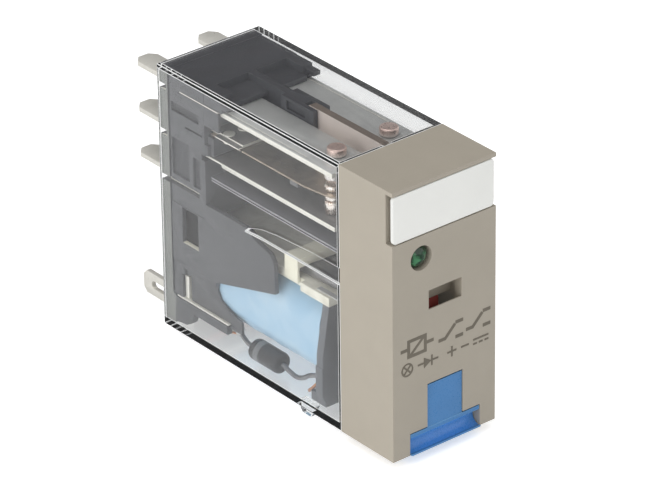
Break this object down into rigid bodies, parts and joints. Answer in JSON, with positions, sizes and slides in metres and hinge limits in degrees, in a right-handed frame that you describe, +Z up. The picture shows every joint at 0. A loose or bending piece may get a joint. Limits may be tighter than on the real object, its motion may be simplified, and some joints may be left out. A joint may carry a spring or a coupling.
{
  "type": "plug-in relay",
  "caption": "Slim plug-in control relay: clear case over a coil and spring contacts, opaque front cap with lamp, flag window, label plate and test slide, flat blade terminals.",
  "frame": {"origin": "centre of the rear seating face, from which the blades stand out", "axes": "+Y out of the seating face along the blades (front face looks along -Y), +Z up towards the label end, +X to the right seen from the front"},
  "size_m": [0.0126, 0.0411, 0.0298],
  "materials": {
    "base": "fine moulded texture",
    "clear": "clear moulded polycarbonate",
    "cap": "satin moulded plastic",
    "label": "white plate for a written label",
    "slide": "blue moulded plastic",
    "lens": "green tinted clear resin",
    "board": "green circuit board",
    "resistor": "lacquered ceramic",
    "red_wire": "insulated wire",
    "strip": "tin plated copper alloy",
    "silver": "silver alloy contact",
    "spring": "phosphor bronze leaf",
    "card": "natural moulded plastic",
    "steel": "plated soft iron",
    "flag": "red moulded plastic",
    "spool": "grey moulded plastic",
    "copper": "enamelled copper wire",
    "tape": "pale blue polyester tape",
    "insulator": "thin moulded sheet",
    "diode": "black epoxy body",
    "solder": "solder"
  },
  "bodies": {
    "housing": {"base": "base", "clear_case": "clear", "front_cap": "cap", "led": "lens", "led_board": "board", "led_resistor": "resistor", "led_leads": "red_wire", "no_terminal_left": "strip", "no_terminal_right": "strip", "com_terminal_left": "strip", "com_terminal_right": "strip", "nc_terminal_left": "strip", "nc_terminal_right": "strip", "no_contacts": "silver", "nc_contacts": "silver", "spring_roots": "spring", "spring_rivets": "silver", "hinge_spring": "spring", "yoke": "steel", "core": "steel", "bobbin": "spool", "coil_winding": "copper", "coil_tape": "tape", "insulation_plate": "insulator", "coil_terminal_left": "strip", "coil_terminal_right": "strip", "diode": "diode", "diode_leads": "strip", "coil_wire_tails": "copper", "solder_joints": "solder"},
    "contact_spring_left": {"moving_spring_left": "spring", "moving_contacts_left": "silver"},
    "contact_spring_right": {"moving_spring_right": "spring", "moving_contacts_right": "silver"},
    "card": {"lifting_card": "card"},
    "armature": {"armature": "steel", "indicator_flag": "flag"},
    "test_slide": {"test_slide": "slide"},
    "nameplate": {"nameplate": "label"}
  },
  "joints": [
    {"name": "armature_hinge", "type": "hinge", "parent": "housing", "child": "armature", "pos_m": [0, -0.0253, -0.00115], "axis": [1, 0, 0], "range_deg": [0, 3], "stiffness_Nm_per_rad": 0.002, "springref_deg": -3.44},
    {"name": "card_lift", "type": "slide", "parent": "housing", "child": "card", "axis": [0, 0, 1], "range_m": [0, 0.00033]},
    {"name": "spring_bend_left", "type": "hinge", "parent": "housing", "child": "contact_spring_left", "pos_m": [-0.0032, -0.0117, 0.00914], "axis": [-1, 0, 0], "range_deg": [0, 2.56]},
    {"name": "spring_bend_right", "type": "hinge", "parent": "housing", "child": "contact_spring_right", "pos_m": [0.0032, -0.0117, 0.00914], "axis": [-1, 0, 0], "range_deg": [0, 2.56]},
    {"name": "test_slide_travel", "type": "slide", "parent": "housing", "child": "test_slide", "axis": [0, 0, -1], "range_m": [0, 0.0024]},
    {"name": "nameplate_pull", "type": "slide", "parent": "housing", "child": "nameplate", "axis": [0, -1, 0], "range_m": [0, 0.003]}
  ],
  "couplings": [
    {"joint": "card_lift", "follows": "armature_hinge", "m_per_rad": 0.0063019},
    {"joint": "spring_bend_left", "follows": "armature_hinge", "ratio": 0.85325},
    {"joint": "spring_bend_right", "follows": "armature_hinge", "ratio": 0.85325}
  ]
}
